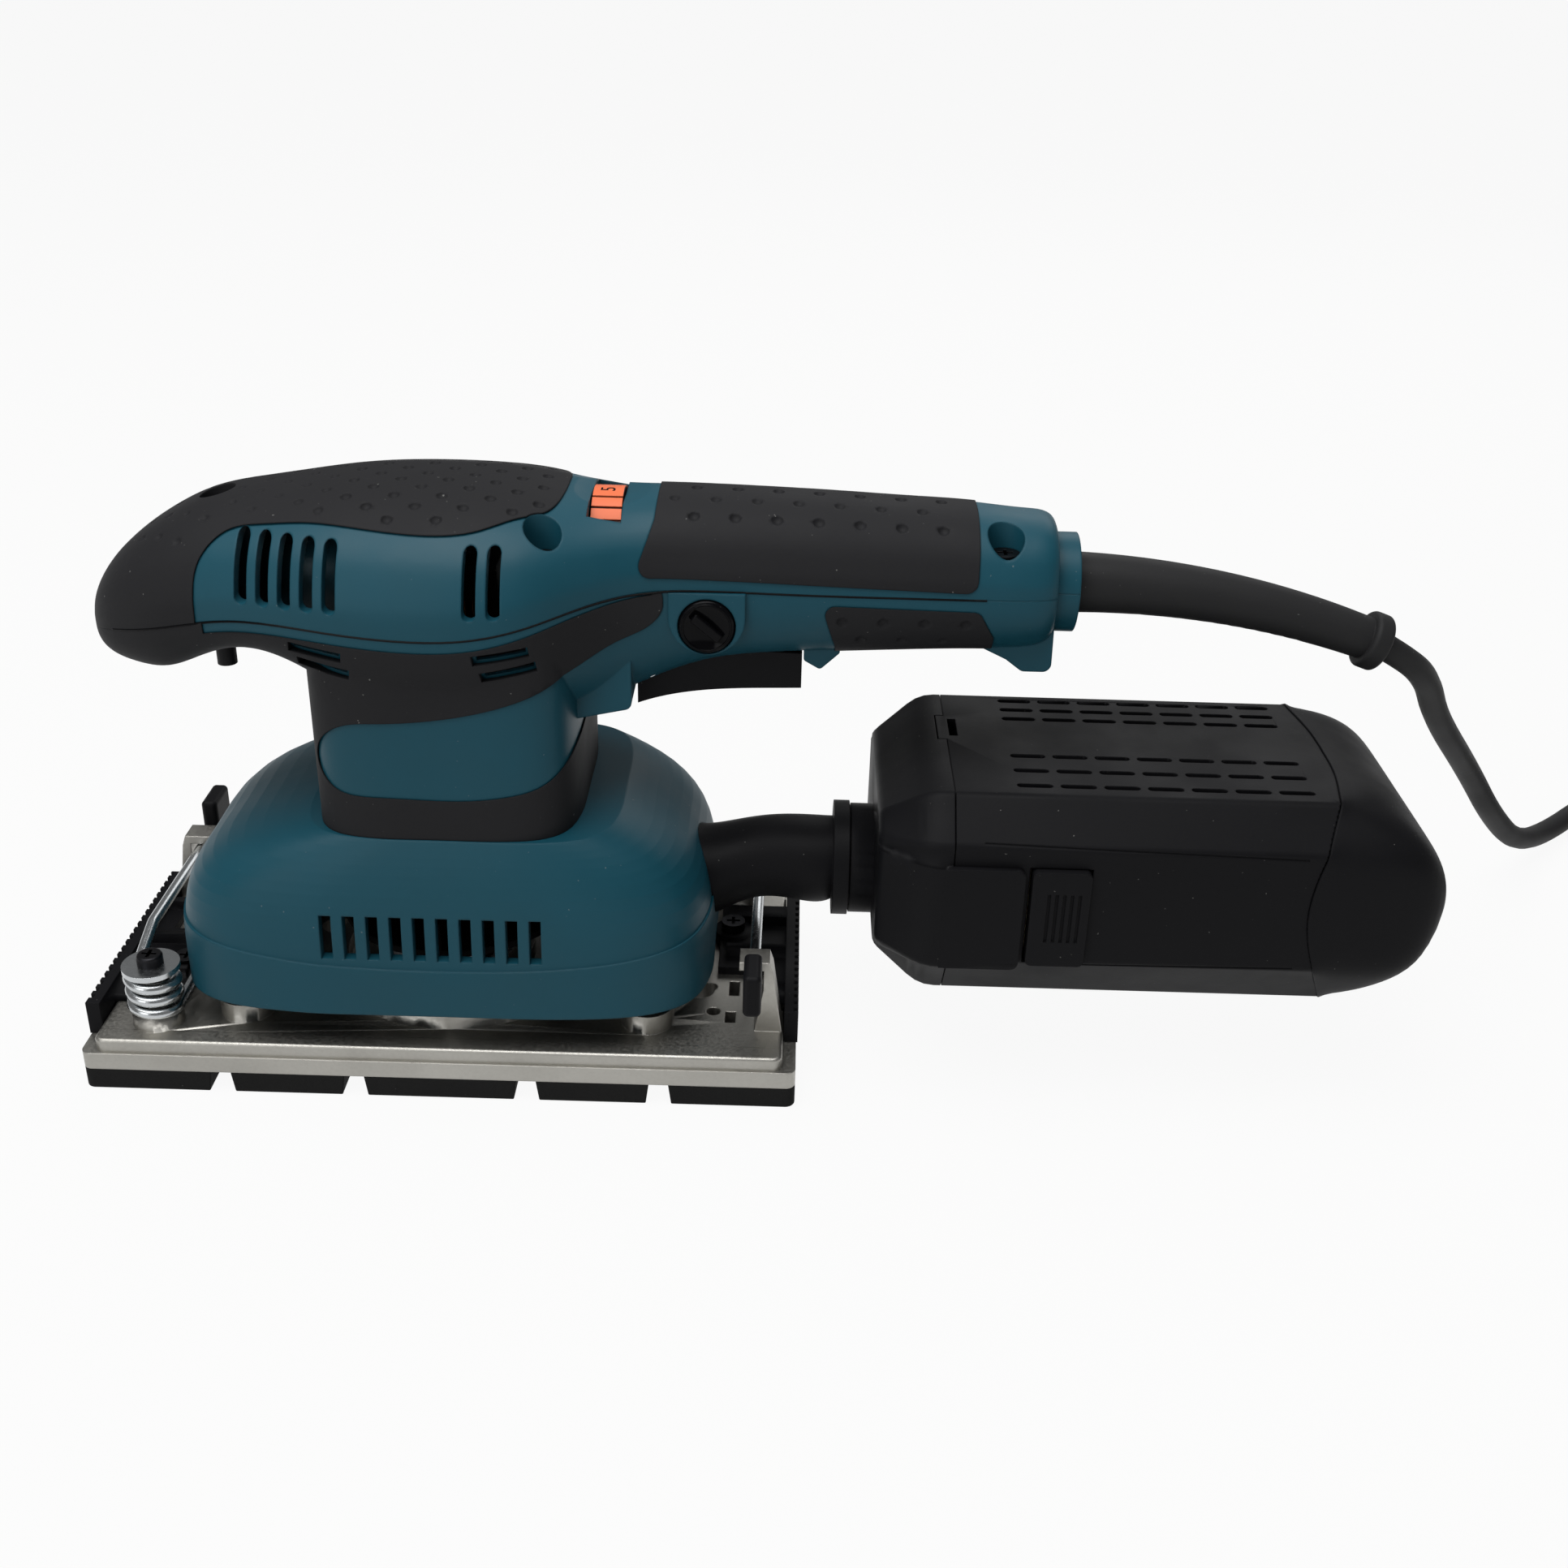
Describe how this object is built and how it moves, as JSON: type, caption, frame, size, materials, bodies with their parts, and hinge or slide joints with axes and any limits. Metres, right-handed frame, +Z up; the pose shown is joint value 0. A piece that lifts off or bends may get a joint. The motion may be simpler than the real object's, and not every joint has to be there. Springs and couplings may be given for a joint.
{
  "type": "orbital sander",
  "caption": "Mains orbital sander with a rectangular pad, wire paper levers, humped front grip, rear handle with trigger and lock, speed dial, push-on dust box and coiled lead.",
  "frame": {"origin": "centre of the sanding pad's sole", "axes": "+X from the front nose to the cord, +Y to the side without the lock button, +Z up"},
  "size_m": [0.5708, 0.1872, 0.1544],
  "materials": {
    "teal_plastic": "fine moulded grain, satin",
    "soft_grip": "matt overmoulded rubber",
    "black_plastic": "fine matt grain",
    "gloss_black": "gloss",
    "orange_plastic": "satin",
    "cord_rubber": "matt",
    "cast_aluminium": "cast, satin",
    "pad_rubber": "matt felt and rubber",
    "zinc_steel": "bright zinc",
    "black_steel": "black oxide",
    "bearing_steel": "ground",
    "lamination_steel": "stacked sheet",
    "zinc_casting": "as cast",
    "copper": "enamelled wire and bare copper",
    "carbon": "pressed carbon",
    "brass_pins": "bright",
    "filter_cloth": "woven cloth"
  },
  "bodies": {
    "housing": {"upper_shell": "teal_plastic", "top_grip": "soft_grip", "handle_grip": "soft_grip", "lower_housing": "teal_plastic", "neck_sleeve": "soft_grip", "lower_grip": "soft_grip", "skirt": "teal_plastic", "skirt_screws": "zinc_steel", "shell_screws": "black_steel", "dust_elbow": "black_plastic", "stator_core": "lamination_steel", "stator_coils": "copper", "bearing_bracket": "black_plastic", "upper_bearing": "bearing_steel", "lower_bearing": "bearing_steel", "brush_holders": "black_plastic", "carbon_brushes": "carbon", "brush_springs": "zinc_steel", "switch_body": "black_plastic", "trigger_pin": "bearing_steel", "trigger_spring": "zinc_steel", "speed_controller": "black_plastic", "lock_spring": "zinc_steel", "inner_lead": "cord_rubber", "cord_clamp": "black_plastic", "cord_guard": "cord_rubber", "cord_lead": "cord_rubber", "cord_coil": "cord_rubber", "cord_tie": "cord_rubber", "plug_body": "cord_rubber", "plug_pins": "brass_pins"},
    "rotor": {"armature_shaft": "bearing_steel", "rotor_core": "lamination_steel", "rotor_windings": "copper", "commutator": "copper", "cooling_fan": "black_plastic", "balance_weight": "zinc_casting", "pad_bolt": "black_steel"},
    "pad": {"base_plate": "cast_aluminium", "sanding_pad": "pad_rubber", "pad_bearing": "bearing_steel", "rubber_feet": "pad_rubber", "front_clamp": "black_plastic", "rear_clamp": "black_plastic", "clamp_screws": "black_steel", "lever_screws": "black_steel", "lever_washers": "zinc_steel"},
    "front_wire": {"front_lever": "zinc_steel", "front_lever_knob": "black_plastic"},
    "rear_wire": {"rear_lever": "zinc_steel", "rear_lever_knob": "black_plastic"},
    "switch_lever": {"trigger": "black_plastic"},
    "lock": {"lock_button": "gloss_black"},
    "dial": {"speed_dial": "orange_plastic"},
    "cover": {"dust_cover": "black_plastic"},
    "box": {"dust_box": "black_plastic", "dust_filter": "filter_cloth"},
    "near_tab": {"near_latch": "black_plastic"},
    "far_tab": {"far_latch": "black_plastic"}
  },
  "joints": [
    {"name": "motor_spin", "type": "hinge", "parent": "housing", "child": "rotor", "pos_m": [-0.001, 0, 0.08], "axis": [0, 0, 1], "continuous": true},
    {"name": "pad_orbit", "type": "hinge", "parent": "rotor", "child": "pad", "pos_m": [0, 0, 0.014], "axis": [0, 0, 1], "continuous": true},
    {"name": "front_lever_swing", "type": "hinge", "parent": "pad", "child": "front_wire", "pos_m": [-0.0748, -0.0352, 0.024], "axis": [0, 0, 1], "range_deg": [-7, 0], "stiffness_Nm_per_rad": 0.4, "springref_deg": 6.88},
    {"name": "rear_lever_swing", "type": "hinge", "parent": "pad", "child": "rear_wire", "pos_m": [0.0748, 0.0352, 0.024], "axis": [0, 0, 1], "range_deg": [-7, 0], "stiffness_Nm_per_rad": 0.4, "springref_deg": 6.88},
    {"name": "trigger_press", "type": "hinge", "parent": "housing", "child": "switch_lever", "pos_m": [0.053, 0, 0.1075], "axis": [0, -1, 0], "range_deg": [0, 6], "stiffness_Nm_per_rad": 0.5, "springref_deg": -14.32, "deforming": ["trigger_spring"]},
    {"name": "lock_press", "type": "slide", "parent": "housing", "child": "lock", "axis": [0, 1, 0], "range_m": [0, 0.003], "stiffness_N_per_m": 600, "springref_m": -0.002, "deforming": ["lock_spring"]},
    {"name": "dial_turn", "type": "hinge", "parent": "housing", "child": "dial", "pos_m": [0.0426, 0, 0.1374], "axis": [1, 0, 0], "range_deg": [-120, 120]},
    {"name": "cover_slide", "type": "slide", "parent": "housing", "child": "cover", "axis": [1, 0, 0], "range_m": [0, 0.014]},
    {"name": "box_slide", "type": "slide", "parent": "cover", "child": "box", "axis": [1, 0, 0], "range_m": [0, 0.0042]},
    {"name": "near_latch_press", "type": "hinge", "parent": "box", "child": "near_tab", "pos_m": [0.1627, -0.0378, 0.056], "axis": [0, 0, -1], "range_deg": [0, 6], "stiffness_Nm_per_rad": 0.3, "springref_deg": -5.73},
    {"name": "far_latch_press", "type": "hinge", "parent": "box", "child": "far_tab", "pos_m": [0.1627, 0.0378, 0.056], "axis": [0, 0, 1], "range_deg": [0, 6], "stiffness_Nm_per_rad": 0.3, "springref_deg": -5.73}
  ],
  "couplings": [
    {"joint": "pad_orbit", "follows": "motor_spin", "ratio": -1}
  ]
}
